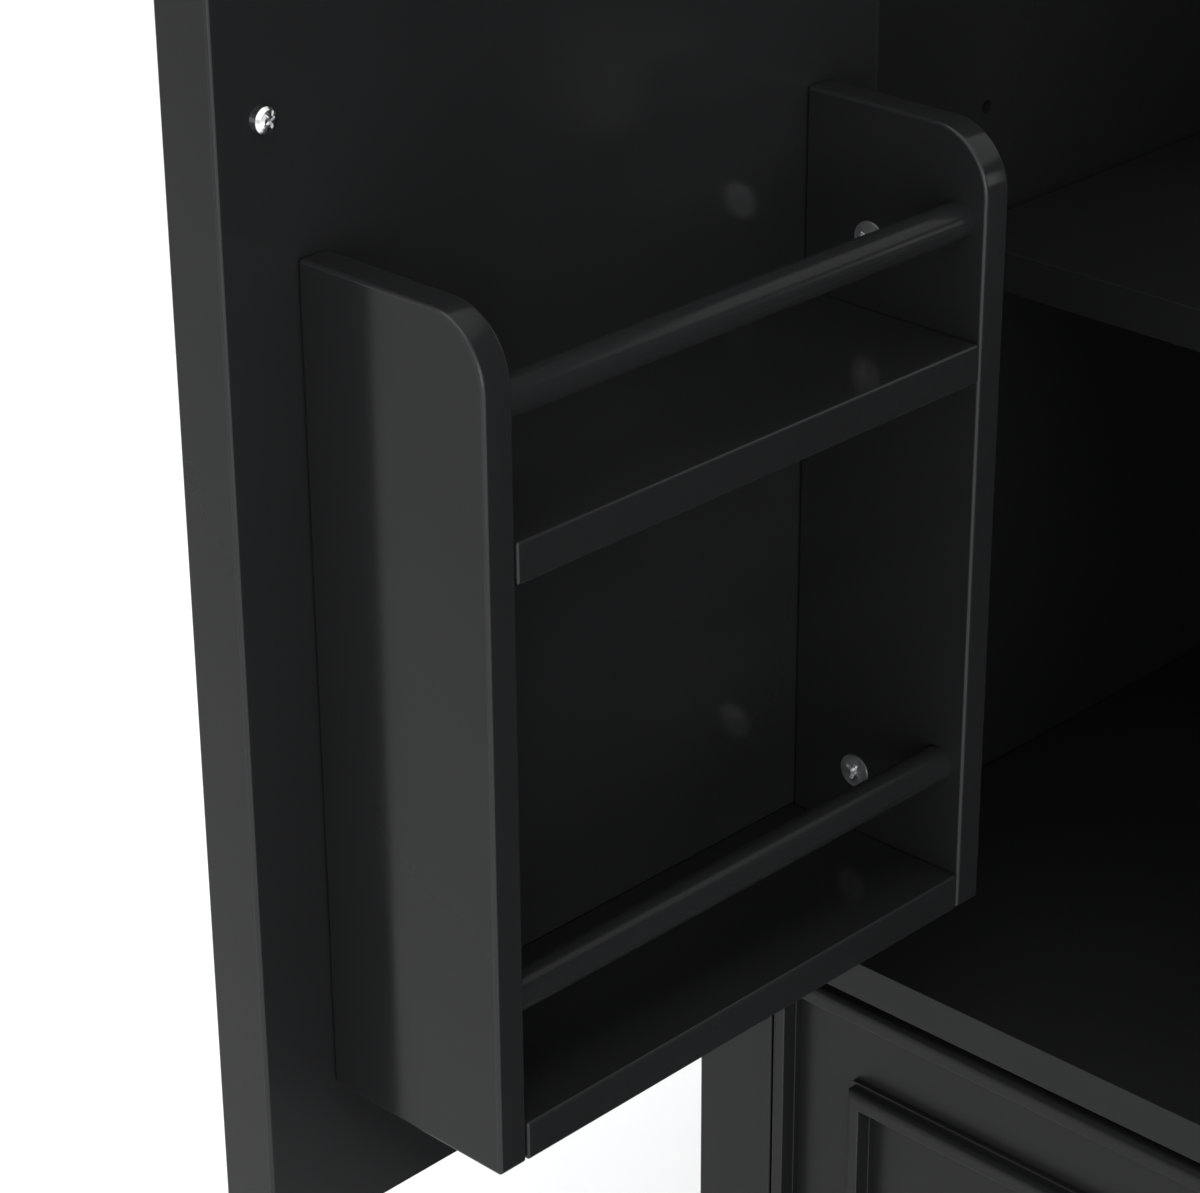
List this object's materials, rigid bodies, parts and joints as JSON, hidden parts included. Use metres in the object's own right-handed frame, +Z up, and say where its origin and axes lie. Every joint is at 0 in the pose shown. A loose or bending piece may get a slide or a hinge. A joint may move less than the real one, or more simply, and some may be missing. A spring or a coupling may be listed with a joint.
{
  "type": "kitchen island cart",
  "caption": "Black framed kitchen island cart on casters, with inset moulded doors that carry storage racks inside, an adjustable shelf, a wide drawer and a worktop.",
  "frame": {"origin": "on the ground, below the centre of the bounding box with the left door standing open at 90 degrees", "axes": "+X to the right along the front, +Y from the front into the cabinet, +Z up"},
  "size_m": [0.683, 0.6816, 0.861],
  "materials": {
    "black_paint": "semi-gloss black paint on medium density board",
    "worktop_paint": "semi-gloss black paint on board",
    "board_panel": "matt black hardboard",
    "zinc_hardware": "bright zinc plate",
    "knob_metal": "satin black metal",
    "bare_wood": "bare beech",
    "plated_steel": "zinc plated steel",
    "black_plastic": "moulded black plastic",
    "caster_rubber": "black rubber tyre on a plastic hub"
  },
  "bodies": {
    "cabinet": {"worktop": "worktop_paint", "side_panel_left": "black_paint", "side_panel_right": "black_paint", "front_stiles": "black_paint", "rear_stiles": "black_paint", "cabinet_floor": "black_paint", "bottom_panel": "black_paint", "top_rail_front": "black_paint", "top_rail_rear": "black_paint", "back_panel": "black_paint", "shelf": "black_paint", "shelf_pins": "zinc_hardware", "frame_screws": "zinc_hardware", "screw_caps": "black_plastic", "top_brackets": "zinc_hardware", "fixing_screws": "zinc_hardware", "pivot_plates": "knob_metal", "pivot_pins": "plated_steel", "magnet_catches": "black_plastic", "slide_outers": "plated_steel", "caster_plates": "plated_steel"},
    "left_door": {"door_left": "black_paint", "door_left_knob": "knob_metal", "door_left_knob_screw": "zinc_hardware", "door_left_bushes": "black_plastic", "door_left_strike": "zinc_hardware", "rack_left_near_side": "black_paint", "rack_left_far_side": "black_paint", "rack_left_upper_shelf": "black_paint", "rack_left_lower_shelf": "black_paint", "rack_left_rails": "black_paint", "rack_left_cams": "zinc_hardware", "rack_left_cam_bolts": "zinc_hardware", "rack_left_dowels": "bare_wood"},
    "right_door": {"door_right": "black_paint", "door_right_knob": "knob_metal", "door_right_fittings": "zinc_hardware", "door_right_bushes": "black_plastic", "rack_right_sides": "black_paint", "rack_right_shelves": "black_paint", "rack_right_rails": "black_paint", "rack_right_cams": "zinc_hardware", "rack_right_fixings": "zinc_hardware"},
    "drawer": {"drawer_front": "black_paint", "drawer_box": "black_paint", "drawer_bottom": "board_panel", "drawer_knobs": "knob_metal", "drawer_screws": "zinc_hardware", "slide_inners": "plated_steel"},
    "slide_middle_pair": {"slide_middles": "plated_steel"},
    "fork_1": {"caster_fork_1": "plated_steel"},
    "wheel_1": {"caster_wheel_1": "caster_rubber"},
    "fork_2": {"caster_fork_2": "plated_steel"},
    "wheel_2": {"caster_wheel_2": "caster_rubber"},
    "fork_3": {"caster_fork_3": "plated_steel"},
    "wheel_3": {"caster_wheel_3": "caster_rubber"},
    "fork_4": {"caster_fork_4": "plated_steel"},
    "wheel_4": {"caster_wheel_4": "caster_rubber"},
    "pedal_1": {"brake_pedal_1": "black_plastic"},
    "pedal_2": {"brake_pedal_2": "black_plastic"}
  },
  "joints": [
    {"name": "left_door_hinge", "type": "hinge", "parent": "cabinet", "child": "left_door", "pos_m": [-0.2776, -0.0647, 0.551], "axis": [0, 0, 1], "range_deg": [-6, 90]},
    {"name": "right_door_hinge", "type": "hinge", "parent": "cabinet", "child": "right_door", "pos_m": [0.2776, -0.0647, 0.551], "axis": [0, 0, 1], "range_deg": [0, 96]},
    {"name": "drawer_slide", "type": "slide", "parent": "cabinet", "child": "drawer", "axis": [0, -1, 0], "range_m": [0, 0.3]},
    {"name": "slide_middle_run", "type": "slide", "parent": "cabinet", "child": "slide_middle_pair", "axis": [0, -1, 0], "range_m": [0, 0.15]},
    {"name": "caster_1_swivel", "type": "hinge", "parent": "cabinet", "child": "fork_1", "pos_m": [-0.2455, -0.0022, 0.1], "axis": [0, 0, 1], "continuous": true},
    {"name": "caster_1_roll", "type": "hinge", "parent": "fork_1", "child": "wheel_1", "pos_m": [-0.2455, 0.0258, 0.0375], "axis": [1, 0, 0], "continuous": true},
    {"name": "caster_2_swivel", "type": "hinge", "parent": "cabinet", "child": "fork_2", "pos_m": [0.2455, -0.0022, 0.1], "axis": [0, 0, 1], "continuous": true},
    {"name": "caster_2_roll", "type": "hinge", "parent": "fork_2", "child": "wheel_2", "pos_m": [0.2455, 0.0258, 0.0375], "axis": [1, 0, 0], "continuous": true},
    {"name": "caster_3_swivel", "type": "hinge", "parent": "cabinet", "child": "fork_3", "pos_m": [-0.2455, 0.2438, 0.1], "axis": [0, 0, 1], "continuous": true},
    {"name": "caster_3_roll", "type": "hinge", "parent": "fork_3", "child": "wheel_3", "pos_m": [-0.2455, 0.2718, 0.0375], "axis": [1, 0, 0], "continuous": true},
    {"name": "caster_4_swivel", "type": "hinge", "parent": "cabinet", "child": "fork_4", "pos_m": [0.2455, 0.2438, 0.1], "axis": [0, 0, 1], "continuous": true},
    {"name": "caster_4_roll", "type": "hinge", "parent": "fork_4", "child": "wheel_4", "pos_m": [0.2455, 0.2718, 0.0375], "axis": [1, 0, 0], "continuous": true},
    {"name": "brake_1_lever", "type": "hinge", "parent": "fork_1", "child": "pedal_1", "pos_m": [-0.2455, 0.0598, 0.061], "axis": [1, 0, 0], "range_deg": [0, 18]},
    {"name": "brake_2_lever", "type": "hinge", "parent": "fork_2", "child": "pedal_2", "pos_m": [0.2455, 0.0598, 0.061], "axis": [1, 0, 0], "range_deg": [0, 18]}
  ],
  "couplings": [
    {"joint": "slide_middle_run", "follows": "drawer_slide", "ratio": 0.5}
  ]
}
